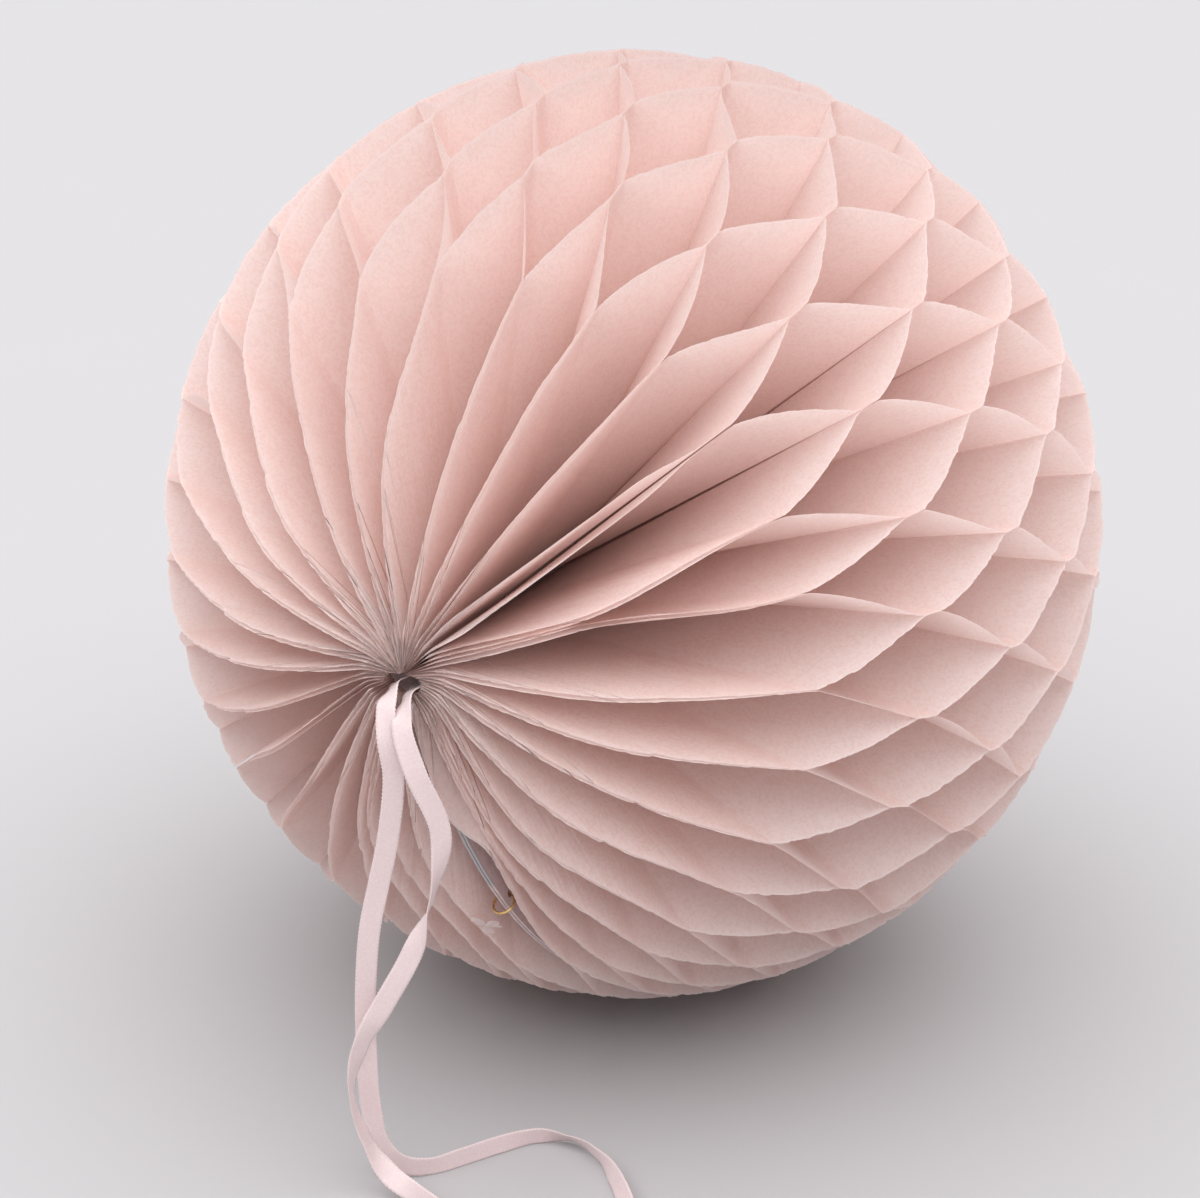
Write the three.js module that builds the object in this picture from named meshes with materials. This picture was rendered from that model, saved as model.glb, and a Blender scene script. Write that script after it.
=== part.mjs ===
// Honeycomb paper ball, lying on its side, with the satin ribbon that it hangs by.
// Millimetres, +Z up. The ball's spine lies along Y, and the ribbon leaves the pole on the -Y side.
// The origin is on the surface that the ball rests on, under the middle of the ball.
import * as THREE from 'three';
import { mergeVertices } from 'three/addons/utils/BufferGeometryUtils.js';

// The fan of tissue leaves
const BALL_RADIUS = 150; // from the middle to a leaf's edge where the fan stands wide open
const PACKED_REACH = 4; // how much further the leaves reach where they lie packed beside the seam
const PACKED_WIDTH = THREE.MathUtils.degToRad(45); // how far round the ball that extra reach fades out
const LEAVES = 60; // half-disc leaves, glued in pairs, an even number
const LEAF_WALL = 0.8; // thickness of a leaf's wall
const GLUE_LEVELS = 8; // lines of glue along the spine
const GLUE_SPACING = 31.5; // from one line of glue to the next
const GLUE_WIDTH = 6; // height of each line of glue
const FAN_SQUEEZE = 0.65; // how much narrower than an open pair the first pair beside the seam is
const FAN_REACH = 3; // how many pairs in from the seam the squeeze fades out over
const FAN_START = THREE.MathUtils.degToRad(2.5); // from the seam's middle to the fan's first share
const SLIT_WIDTH = 1.2; // gap between a pair's two leaves past the last line of glue
const CAP_STEPS = 5; // rows of points from a ring's place to the pole beside it
const POLE_ANGLE = THREE.MathUtils.degToRad(5.2); // where the leaves come together round each pole

// The spine, where the straight edges of all the leaves are bound together
const SPINE_RADIUS = 12; // out to the bottom of the cells
const SPINE_BORE = 6.6; // radius of the hole that the ribbon goes into
const POLE_DIMPLE = 1.5; // how far the hole's mouth is drawn in

// How the ball rests
const SEAM_TILT = THREE.MathUtils.degToRad(11.5); // from straight down to the seam, towards +X
const REST_DEPTH = 3; // how much of the ball is pressed flat where it rests

// The two cover cards at the seam, and the wire rings that hold them together
const CLEARANCE = 0.3; // between pieces that touch
const COVER_THICKNESS = 0.8;
const COVER_MARGIN = 4; // from a leaf's edge to a cover's edge
const COVER_STEPS = 24; // round a cover's edge, and round each of its holes
const RING_RADIUS = 3.4; // to the middle of the wire
const RING_WIRE = 0.8; // diameter of the wire
const RING_SIDES = 8; // round the wire
const RING_STEPS = 24; // round the ring
const RING_HOLE_RADIUS = 1.2;
const RING_ANGLE = THREE.MathUtils.degToRad(33); // from the pole to a ring, seen from the ball's middle

// The thread that is stitched through the spine
const THREAD_DIAMETER = 1.2;
const THREAD_INSET = 3; // from the hole's mouth to the thread's end
const THREAD_SIDES = 8;

// The satin ribbon: one loop, 6 mm wide. It hangs over the lip of the hole.
// It stands on its edge where it lies.
const RIBBON_SOLID = 3; // diameter of the plain round solid that stands in for the flat ribbon
const RIBBON_SIDES = 8;
const RIBBON_STEPS = 80;
const RIBBON_ROUTE = [
  [-3.3, -143, 147.4], [-3, -148.5, 147.3], [-1.6, -155.5, 144], [1, -159.4, 135.5], [2.6, -159.8, 126],
  [0.7, -160.7, 107.2], [-1.9, -162, 93.5], [-4.3, -163.7, 79.9], [-5.5, -164.8, 64.5], [-5.8, -165.5, 45.6],
  [-4.9, -165.8, 24], [-2.6, -165.1, 11.5], [2.6, -162.6, 5], [9.3, -157.4, 3], [15.2, -149.4, 3],
  [22.1, -139, 3], [29.8, -130.3, 3], [39.5, -127.2, 3], [49.7, -131.2, 3], [59.2, -139.3, 3],
  [68.3, -150.5, 3], [76, -163, 3], [79, -178, 3], [73, -192, 3], [59, -197, 3],
  [44, -189, 3], [28, -177.5, 3], [15.1, -172.5, 3.4], [4.5, -171.5, 7], [-3, -171.8, 17],
  [-6.6, -172.9, 31], [-4.3, -171, 46.3], [1.4, -167.3, 59.1], [8.3, -163.6, 73.9], [13.7, -160.3, 91],
  [15.8, -158, 110.7], [10, -160.7, 128.5], [4.6, -158.1, 140.4], [2.9, -151.5, 146.1], [2.6, -143, 146.7],
];

const FULL_TURN = 2 * Math.PI;
const COVER_RADIUS = BALL_RADIUS - COVER_MARGIN;
const SLOT_HALF = CLEARANCE / 2 + COVER_THICKNESS + CLEARANCE; // from the seam's middle to a leaf beside it
const RING_ROOM = RING_RADIUS + RING_WIRE / 2 + 2 * CLEARANCE; // the same, beside a ring
const RING_ALONG = COVER_RADIUS * Math.cos(RING_ANGLE); // a ring's place along the spine
const RING_OUT = COVER_RADIUS * Math.sin(RING_ANGLE); // and its distance from the spine
const LAST = LEAVES - 1;

// Directions round the ball, seen from the ribbon's pole: 0 is the seam, and angles grow towards +X, then up.
const reachAt = (angle) => {
  const fromSeam = Math.min(angle, FULL_TURN - angle);
  return BALL_RADIUS + PACKED_REACH * Math.exp(-((fromSeam / PACKED_WIDTH) ** 2));
};
const CENTRE_HEIGHT = reachAt(SEAM_TILT) - REST_DEPTH;

// A point of the ball: its angle from the seam, its distance from the spine, and its place along the spine.
// A point that would lie under the surface is pressed up onto it.
function place(angle, radius, along) {
  const turned = angle + SEAM_TILT;
  const height = CENTRE_HEIGHT - radius * Math.cos(turned);
  return [radius * Math.sin(turned), -along, Math.max(height, 0)];
}

// The half-disc's outline: how far from the spine a leaf's edge lies.
const edgeRadius = (angle, along) => {
  const share = Math.sqrt(BALL_RADIUS ** 2 - along ** 2) / BALL_RADIUS;
  return reachAt(angle) * share;
};

// Rows of points along the spine, from the far pole to the ribbon's pole.
// Each row has the level of its line of glue, and a row past the last line has that line's level.
function makeRows() {
  const half = [];
  const firstAngle = Math.acos(RING_ALONG / BALL_RADIUS);
  for (let step = 0; step <= CAP_STEPS; step += 1) {
    const angle = firstAngle * (POLE_ANGLE / firstAngle) ** (step / CAP_STEPS);
    half.push({ along: BALL_RADIUS * Math.cos(angle), closed: step === CAP_STEPS });
  }
  const farRow = (row) => ({ ...row, along: -row.along, cap: true, level: GLUE_LEVELS - 1 });
  const rows = half.map(farRow).reverse();
  for (let level = GLUE_LEVELS - 1; level >= 0; level -= 1) {
    const middle = ((GLUE_LEVELS - 1) / 2 - level) * GLUE_SPACING;
    rows.push({ along: middle - GLUE_WIDTH / 2, level });
    rows.push({ along: middle + GLUE_WIDTH / 2, level });
  }
  return rows.concat(half.map((row) => ({ ...row, cap: true, level: 0 })));
}

// Where each pair of leaves meets round the ball: packed beside the seam, and open on the other side.
function pairAngles() {
  const pairs = LEAVES / 2;
  const shares = [];
  for (let pair = 0; pair < pairs; pair += 1) {
    const fromSeam = Math.min(pair, pairs - 1 - pair) + 0.5;
    shares.push(1 - FAN_SQUEEZE * Math.exp(-((fromSeam / FAN_REACH) ** 2)));
  }
  const total = shares.reduce((sum, share) => sum + share, 0);
  const scale = (FULL_TURN - 2 * FAN_START) / total;
  let start = FAN_START;
  return shares.map((share) => {
    const middle = start + (share * scale) / 2;
    start += share * scale;
    return middle;
  });
}

const PAIR_ANGLES = pairAngles();
const SLOT_ANGLE = Math.asin(SLOT_HALF / SPINE_RADIUS);

// At the spine the leaves lie evenly stacked. The gap after a leaf starts at this angle.
const spineAngle = (gap) => SLOT_ANGLE + ((gap + 1) * (FULL_TURN - 2 * SLOT_ANGLE)) / LEAVES;

// Where the two leaves on each side of a gap meet when they are glued there, at a distance from the spine.
function nodeAngle(gap, radius) {
  const pair = Math.floor(gap / 2);
  const outer = gap % 2 === 0 ? PAIR_ANGLES[pair] : (PAIR_ANGLES[pair] + PAIR_ANGLES[pair + 1]) / 2;
  const pull = ((SPINE_RADIUS / radius) * (BALL_RADIUS - radius)) / (BALL_RADIUS - SPINE_RADIUS);
  return outer + (spineAngle(gap) - outer) * pull;
}

// How far the two end leaves lie from the seam's middle.
// Past the last line of glue they stand off to clear the rings.
function seamOffset(row, radius) {
  if (!row.cap) return SLOT_HALF;
  return SLOT_HALF + ((RING_ROOM - SLOT_HALF) * (radius - SPINE_RADIUS)) / (RING_OUT - SPINE_RADIUS);
}

// The angle of one face of a leaf at a row: side -1 is the face towards the seam's start, side 1 the other.
function faceAngle(leaf, side, row) {
  if (row.closed) {
    if (leaf === 0 && side < 0) return 0;
    if (leaf === LAST && side > 0) return FULL_TURN;
    return spineAngle(side > 0 ? leaf : leaf - 1);
  }
  const partner = (row.level + leaf) % 2 === 0 ? leaf : leaf - 1; // the gap that this row's glue closes
  const radius = edgeRadius(Math.PI, row.along);
  const wall = LEAF_WALL / radius;
  if (partner < 0) {
    const face = Math.asin(seamOffset(row, radius) / radius);
    return side < 0 ? face : face + wall;
  }
  if (partner === LAST) {
    const face = FULL_TURN - Math.asin(seamOffset(row, radius) / radius);
    return side > 0 ? face : face - wall;
  }
  const slit = row.cap ? SLIT_WIDTH / 2 / radius : 0;
  const node = nodeAngle(partner, radius);
  if (partner === leaf) return side > 0 ? node - slit : node - slit - wall;
  return side < 0 ? node + slit : node + slit + wall;
}

const edgePoint = (leaf, side, row) => {
  const angle = faceAngle(leaf, side, row);
  return place(angle, edgeRadius(angle, row.along), row.along);
};

// Collects quads as triangles, and leaves out the ones that have shrunk to a line.
class Faces {
  constructor() {
    this.points = [];
  }

  triangle(a, b, c) {
    const same = (p, q) => p.every((value, axis) => Math.abs(value - q[axis]) < 1e-6);
    if (same(a, b) || same(b, c) || same(c, a)) return;
    this.points.push(...a, ...b, ...c);
  }

  quad(a, b, c, d) {
    this.triangle(a, b, c);
    this.triangle(a, c, d);
  }

  geometry() {
    const loose = new THREE.BufferGeometry();
    loose.setAttribute('position', new THREE.Float32BufferAttribute(this.points, 3));
    return mergeVertices(loose, 1e-4);
  }
}

// The whole honeycomb: sixty leaves, the cells between them, and the spine with its hole.
function makeHoneycomb() {
  const rows = makeRows();
  const faces = new Faces();
  const inner = (gap, row) => place(spineAngle(gap), SPINE_RADIUS, row.along);
  const slotFloor = (side, row) => place(row.closed ? 0 : side * SLOT_ANGLE, SPINE_RADIUS, row.along);
  const merged = (gap, row) => faceAngle(gap, 1, row) === faceAngle(gap + 1, -1, row);
  for (let index = 0; index < rows.length - 1; index += 1) {
    const low = rows[index];
    const high = rows[index + 1];
    for (let leaf = 0; leaf < LEAVES; leaf += 1) {
      faces.quad(
        edgePoint(leaf, -1, low), edgePoint(leaf, 1, low),
        edgePoint(leaf, 1, high), edgePoint(leaf, -1, high),
      );
    }
    for (let gap = 0; gap < LAST; gap += 1) {
      if (merged(gap, low) && merged(gap, high)) continue;
      faces.quad(inner(gap, low), inner(gap, high), edgePoint(gap, 1, high), edgePoint(gap, 1, low));
      faces.quad(
        inner(gap, low), edgePoint(gap + 1, -1, low), edgePoint(gap + 1, -1, high), inner(gap, high),
      );
    }
    faces.quad(slotFloor(-1, low), slotFloor(-1, high), edgePoint(LAST, 1, high), edgePoint(LAST, 1, low));
    faces.quad(slotFloor(1, low), edgePoint(0, -1, low), edgePoint(0, -1, high), slotFloor(1, high));
    faces.quad(slotFloor(-1, low), slotFloor(1, low), slotFloor(1, high), slotFloor(-1, high));
  }
  addSpineHole(faces, rows[0], rows[rows.length - 1]);
  return faces.geometry();
}

// The hole along the spine, and the drawn-in face round its mouth at each pole.
function addSpineHole(faces, farRow, nearRow) {
  const angleAt = (leaf) => (leaf === 0 ? 0 : spineAngle(leaf - 1));
  const mouth = nearRow.along - POLE_DIMPLE;
  const end = (leaf) => (leaf === LEAVES ? FULL_TURN : angleAt(leaf));
  for (let leaf = 0; leaf < LEAVES; leaf += 1) {
    const from = end(leaf);
    const to = end(leaf + 1);
    const rim = (angle, row) => place(angle, edgeRadius(angle, row.along), row.along);
    const hole = (angle, along) => place(angle, SPINE_BORE, along);
    faces.quad(hole(from, mouth), rim(from, nearRow), rim(to, nearRow), hole(to, mouth));
    faces.quad(hole(from, -mouth), hole(to, -mouth), rim(to, farRow), rim(from, farRow));
    faces.quad(hole(from, -mouth), hole(from, mouth), hole(to, mouth), hole(to, -mouth));
  }
}

const TISSUE = new THREE.MeshStandardMaterial({ color: 0xd9aea3, roughness: 0.9, metalness: 0 });
const CARD = new THREE.MeshStandardMaterial({ color: 0xa9a3a1, roughness: 0.85, metalness: 0 });
const BRASS = new THREE.MeshStandardMaterial({ color: 0xb98a4a, roughness: 0.3, metalness: 1 });
const COTTON = new THREE.MeshStandardMaterial({ color: 0xe9e2da, roughness: 0.9, metalness: 0 });
const SATIN = new THREE.MeshStandardMaterial({ color: 0xe9cfcd, roughness: 0.35, metalness: 0 });

// The seam's own directions: along the spine, outwards, and across the seam.
const BALL_CENTRE = new THREE.Vector3(0, 0, CENTRE_HEIGHT);
const ALONG = new THREE.Vector3(0, -1, 0);
const OUTWARD = new THREE.Vector3(Math.sin(SEAM_TILT), 0, -Math.cos(SEAM_TILT));
const ACROSS = new THREE.Vector3().crossVectors(ALONG, OUTWARD);

// One cover card: a half-disc that lies in the seam, with a hole for each ring.
function makeCover() {
  const edge = SPINE_RADIUS + CLEARANCE;
  const corner = Math.asin(edge / COVER_RADIUS);
  const outline = new THREE.Shape();
  outline.absarc(0, 0, COVER_RADIUS, corner, Math.PI - corner, false);
  outline.closePath();
  [-1, 1].forEach((side) => {
    const share = (COVER_RADIUS - RING_RADIUS) / COVER_RADIUS;
    const hole = new THREE.Path();
    hole.absarc(side * share * RING_ALONG, share * RING_OUT, RING_HOLE_RADIUS, 0, FULL_TURN);
    outline.holes.push(hole);
  });
  const settings = { depth: COVER_THICKNESS, bevelEnabled: false, curveSegments: COVER_STEPS };
  return new THREE.ExtrudeGeometry(outline, settings);
}

// Stands a piece in the seam: its X along the first direction, its Y along the second.
function stand(mesh, first, second, centre) {
  const third = new THREE.Vector3().crossVectors(first, second);
  mesh.quaternion.setFromRotationMatrix(new THREE.Matrix4().makeBasis(first, second, third));
  mesh.position.copy(centre);
  return mesh;
}

function makeRing(side) {
  const towards = ALONG.clone().multiplyScalar(side * Math.cos(RING_ANGLE));
  towards.addScaledVector(OUTWARD, Math.sin(RING_ANGLE));
  const centre = BALL_CENTRE.clone().addScaledVector(towards, COVER_RADIUS);
  const wire = new THREE.TorusGeometry(RING_RADIUS, RING_WIRE / 2, RING_SIDES, RING_STEPS);
  return stand(new THREE.Mesh(wire, BRASS.clone()), ACROSS, towards, centre);
}

// The thread lies on the bottom of the spine's hole.
function makeThread() {
  const mouth = BALL_RADIUS * Math.cos(POLE_ANGLE) - POLE_DIMPLE;
  const length = 2 * (mouth - THREAD_INSET);
  const thread = new THREE.CylinderGeometry(THREAD_DIAMETER / 2, THREAD_DIAMETER / 2, length, THREAD_SIDES);
  const mesh = new THREE.Mesh(thread, COTTON);
  mesh.position.copy(BALL_CENTRE);
  mesh.position.z -= SPINE_BORE - CLEARANCE - THREAD_DIAMETER / 2;
  return mesh;
}

function makeRibbon() {
  const route = new THREE.CatmullRomCurve3(RIBBON_ROUTE.map((point) => new THREE.Vector3(...point)), false);
  const section = new THREE.Shape();
  for (let side = 0; side < RIBBON_SIDES; side += 1) {
    const angle = (side / RIBBON_SIDES) * FULL_TURN;
    const x = (RIBBON_SOLID / 2) * Math.cos(angle);
    const y = (RIBBON_SOLID / 2) * Math.sin(angle);
    if (side === 0) section.moveTo(x, y);
    else section.lineTo(x, y);
  }
  section.closePath();
  const settings = { steps: RIBBON_STEPS, extrudePath: route, bevelEnabled: false };
  return new THREE.Mesh(new THREE.ExtrudeGeometry(section, settings), SATIN);
}

const honeycomb = new THREE.Mesh(makeHoneycomb(), TISSUE);
honeycomb.name = 'honeycomb';

const covers = [-1, 1].map((side) => {
  const cover = new THREE.Mesh(makeCover(), CARD.clone());
  const inset = side > 0 ? CLEARANCE / 2 : -(CLEARANCE / 2 + COVER_THICKNESS);
  stand(cover, ALONG, OUTWARD, BALL_CENTRE.clone().addScaledVector(ACROSS, inset));
  cover.name = side > 0 ? 'cover_card_right' : 'cover_card_left';
  return cover;
});

const rings = [1, -1].map((side) => {
  const ring = makeRing(side);
  ring.name = side > 0 ? 'closing_ring_front' : 'closing_ring_back';
  return ring;
});

const thread = makeThread();
thread.name = 'spine_thread';

const ribbon = makeRibbon();
ribbon.name = 'ribbon';

// The ball's pieces are set so that the middle of their box is over the origin.
const ball = new THREE.Group();
ball.add(honeycomb, ...covers, ...rings, thread);
const box = new THREE.Box3().setFromObject(ball, true);
ball.position.x = -(box.min.x + box.max.x) / 2;
ball.position.y = -(box.min.y + box.max.y) / 2;

const object = new THREE.Group();
object.add(ball, ribbon);

export default object;
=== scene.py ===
"""The looks of a honeycomb paper ball: tissue leaves, cover cards, brass rings, thread and satin ribbon."""

import math
import random

import bmesh
import bpy
from bpy.props import FloatProperty, FloatVectorProperty, IntProperty, PointerProperty
from mathutils import Matrix, Vector, noise


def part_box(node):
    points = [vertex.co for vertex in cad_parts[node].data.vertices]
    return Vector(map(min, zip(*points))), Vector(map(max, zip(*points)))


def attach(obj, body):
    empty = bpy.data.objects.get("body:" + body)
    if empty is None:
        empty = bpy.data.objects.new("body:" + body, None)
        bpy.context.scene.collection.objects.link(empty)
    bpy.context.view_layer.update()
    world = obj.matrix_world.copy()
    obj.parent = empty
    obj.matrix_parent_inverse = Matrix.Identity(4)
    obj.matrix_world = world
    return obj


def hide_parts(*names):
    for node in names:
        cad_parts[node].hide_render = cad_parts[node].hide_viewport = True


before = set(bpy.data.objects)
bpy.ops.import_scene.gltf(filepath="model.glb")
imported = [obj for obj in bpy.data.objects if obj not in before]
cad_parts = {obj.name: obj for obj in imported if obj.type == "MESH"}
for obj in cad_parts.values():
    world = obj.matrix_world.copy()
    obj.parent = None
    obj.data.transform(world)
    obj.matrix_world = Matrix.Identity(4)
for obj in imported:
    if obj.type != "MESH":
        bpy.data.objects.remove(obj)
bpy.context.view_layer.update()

bl_info = {
    "name": "Honeycomb Paper Ball",
    "version": (1, 0, 0),
    "blender": (4, 5, 0),
    "location": "View3D > Sidebar > Paper Ball",
    "description": "Builds the fine tissue leaves, rings and ribbon of a honeycomb paper ball",
    "category": "Object",
}

BODY = "root"
MM = 0.001
UV_SCALE = 10  # the pieces' own coordinates are in tenths of a metre

# How the leaves are cut and glued, as on the solid ball
BALL_RADIUS = 150 * MM
PACKED_REACH = 4 * MM  # the leaves stand this much further out where they crowd at the seam
PACKED_WIDTH = math.radians(45)
LEAVES = 60
PAIRS = LEAVES // 2
GLUE_LEVELS = 8
GLUE_SPACING = 31.5 * MM
GLUE_WIDTH = 6 * MM
TOP_GLUE = (GLUE_LEVELS - 1) / 2 * GLUE_SPACING + GLUE_WIDTH / 2
FAN_SQUEEZE = 0.65  # how much closer the pairs stand at the seam
FAN_REACH = 3  # over how many pairs that fades
FAN_START = math.radians(2.5)
SPINE_RADIUS = 12 * MM
SPINE_BORE = 6.6 * MM
COVER_HALF = 1.25 * MM  # from the middle of the seam to the outside of a card
COVER_RADIUS = 146 * MM
BARE_FROM = 127.5 * MM  # past this place along the spine the cards' edges are bare board
RING_ANGLE = math.radians(33)
SEAM_TILT = math.radians(11.5)
THREAD_DROP = 5.7 * MM
FLOOR_GAP = 0.3 * MM  # no paper lies lower than this

# How a leaf runs past its last line of glue, by its distance from the spine or from that line
LEAN_FROM = 98 * MM
LEAN_OVER = 50 * MM
SHUT_FROM = 58 * MM
SHUT_OVER = 20 * MM
SHUT_HALF = 2.2 * MM
LIP_OVER = 14 * MM
WIDE_SLIT = 2.1 * MM
NARROW_SLIT = 0.08 * MM
OPEN_SLIT = 0.45 * MM
CARD_LEAF_OVER = 12 * MM
CARD_LEAF_RADIUS = 79 * MM
CARD_LEAF_HALF = 4.9 * MM
LIP_RADIUS = 6 * MM
LIP_RADIUS_OVER = 20 * MM
WAVE_PITCH = 90  # waves in the slits, ripples in the lips and bellies in the walls, per metre
RIPPLE_PITCH = 45
CUP_PITCH = 26
MOST_TURN = 0.9  # the sine of the widest turn that a leaf makes close to the spine
BOUND_SHARE = 0.08  # the part of a leaf's depth that is bound inside the spine
DEPTH_CROWDING = 1.15  # above 1, the points of a leaf crowd towards the spine

# How a leaf's rim is torn, and how the leaves are drawn together at the poles
FINE_TEARS = 85
COARSE_TEARS = 24
NICK_LENGTH = 9 * MM
DIMPLE = 1.6 * MM
DIMPLE_RADIUS = 6 * MM
POLE_FROM = 141 * MM
POLE_OVER = 4 * MM
TIP_RADIUS = 1.5 * MM
TIP_STRAY = 1.3 * MM
RIM_HIGHLIGHT_RADIUS = 16 * MM  # nearer to the spine than this, the painted highlight along the rims fades into shade
RIM_HIGHLIGHT_FADE = 2 * MM
FOLD_PAST = 1 * MM
FOLDED_HALF = (0.35 * MM, 0.6 * MM)  # how far the two folded leaves stand from the middle of the seam

# The lining of the spine's hole
LINING_SHORT = 6 * MM  # it ends this far inside each pole
LINING_STEPS = 24
LINING_WALL = 0.2 * MM

# The torn scrap: where it lies, and how it is torn
SCRAP_ANGLE = math.radians(-4)
SCRAP_ALONG = 124.5 * MM
SCRAP_RIMS = BALL_RADIUS + 1.2 * MM
SCRAP_CRUMPLE = 1 * MM

# How far each pair of leaves leans near the ribbon's pole, in degrees, from one side of the seam to the other
FRONT_LEAN = (
    5, -1, -6.5, -8.5, -7.5, -5, -6, -5, 5.5, -7.5, -0.5, 0.5, 0, -1, 6.5,
    4.5, 3.5, 7.5, 6, 3.5, 6, 5, 5, 3, 3.5, 0, -4.5, -12, -13, -9,
)
WIDE_LIP = 10  # the pair whose two leaves stand well apart near that pole
# How far each glued node leans, in degrees: for each line of glue, the first pair and then its neighbours
NODE_LEAN = (
    (3, (-1.5, -2, -3.5, -2.5, -2.5, -0.5, -2, 0, 0.5, 0, -1, 0.5, 1, 2.5, 1, -1)),
    (2, (-0.5, -1, -3.5, -2, -2, -1.5, -2, -1, 0, 0.5, 1, 0, -1.5, 2, 0.5, 1.5)),
    (3, (0, -3.5, -1.5, -2.5, -2.5, -2, -1, -1, 0, 0.5, 0.5, -1.5, -0.5, 2.5, 1.5)),
    (5, (-3.5, -2.5, -2.5, -1, -1, -0.5, 0.5, 1, 0.5)),
)

# The ribbon's route in millimetres: out of the pole, down, along the floor, and back
RIBBON_ROUTE = (
    (-3.3, -143, 147.4), (-3, -148.5, 147.3), (-1.6, -155.5, 144), (1, -159.4, 135.5),
    (2.6, -159.8, 126), (0.7, -160.7, 107.2), (-1.9, -162, 93.5), (-4.3, -163.7, 79.9),
    (-5.5, -164.8, 64.5), (-5.8, -165.5, 45.6), (-4.9, -165.8, 24), (-2.6, -165.1, 11.5),
    (2.6, -162.6, 5), (9.3, -157.4, 3), (15.2, -149.4, 3),
    (22.1, -139, 3), (29.8, -130.3, 3), (39.5, -127.2, 3), (49.7, -131.2, 3), (59.2, -139.3, 3),
    (68.3, -150.5, 3), (76, -163, 3), (79, -178, 3), (73, -192, 3), (59, -197, 3),
    (44, -189, 3), (28, -177.5, 3), (15.1, -172.5, 3.4), (4.5, -171.5, 7), (-3, -171.8, 17),
    (-6.6, -172.9, 31), (-4.3, -171, 46.3), (1.4, -167.3, 59.1), (8.3, -163.6, 73.9), (13.7, -160.3, 91),
    (15.8, -158, 110.7), (10, -160.7, 128.5), (4.6, -158.1, 140.4), (2.9, -151.5, 146.1), (2.6, -143, 146.7),
)
# How far the band is turned from facing the front at each of those points, in degrees
RIBBON_TURN = (
    84, 76, 28, 5, 5, 0, -5, 0, 5, 5,
    5, 10, 16, 22, 20, 18, 30, 65, 50, 25,
    25, 60, 139, 150, 156, 158, 160, 165, 200, 250,
    265, 225, 185, 170, 82, 20, 0, -18, -72, -82,
)

CURVE_PARTS = 24  # steps between two of those points

CAMERA_PLACE = Vector((0.30005, -0.65366, 0.38570))
CAMERA_TILT = math.radians(70)
CAMERA_TURN = math.radians(25.5)
CAMERA_LENS = 69.65
SENSOR_WIDTH = 36.0
TO_CAMERA = Vector((0.40455, -0.84815, 0.34202))

# Wide soft lights: where each shines from, how wide it spreads in degrees, and its strength
LIGHTS = (
    ("overhead_softbox", (-0.02, 0.0, 2.0), 110, 3.1),
    ("front_softbox", (0.3, -1.0, 1.8), 90, 0.72),
)
WORLD_COLOUR = (0.93, 0.95, 1.0, 1.0)
WORLD_LIGHT = 0.42
FLOOR_HALF = 90  # in metres
SHINE_THROUGH = 0.48  # the share of the light that passes through a leaf


def smooth(x):
    """0 below 0 and 1 above 1, with a soft way between."""
    x = min(max(x, 0.0), 1.0)
    return x * x * (3 - 2 * x)


def blend(a, b, share):
    """The number that lies this share of the way from a to b."""
    return a + (b - a) * share


def uneven(x, y, z):
    """A smooth random number between -1 and 1 that depends only on these three."""
    return noise.noise(Vector((x, y, z)))


def between(corners):
    """The middle of a box."""
    low, high = corners
    return (low + high) / 2


BALL_CENTRE = between(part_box("spine_thread")) + Vector((0, 0, THREAD_DROP))


def reach_at(angle):
    """The radius that the ball has in this direction from the seam."""
    from_seam = min(angle % math.tau, -angle % math.tau)
    return BALL_RADIUS + PACKED_REACH * math.exp(-((from_seam / PACKED_WIDTH) ** 2))


def place(angle, radius, along):
    """A point of the ball: angle from the seam, distance from the spine, and place along the spine."""
    turned = angle + SEAM_TILT
    point = BALL_CENTRE + Vector((radius * math.sin(turned), -along, -radius * math.cos(turned)))
    point.z = max(point.z, FLOOR_GAP)
    return point


def seam_directions():
    """Along the seam towards the ribbon's pole, out from the spine, and across the seam."""
    along = Vector((0, -1, 0))
    outward = Vector((math.sin(SEAM_TILT), 0, -math.cos(SEAM_TILT)))
    return along, outward, along.cross(outward)


def half_turn_share(angle):
    """0 at the seam and 1 opposite it."""
    return math.sin(min(angle, math.tau - angle) / 2)


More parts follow.
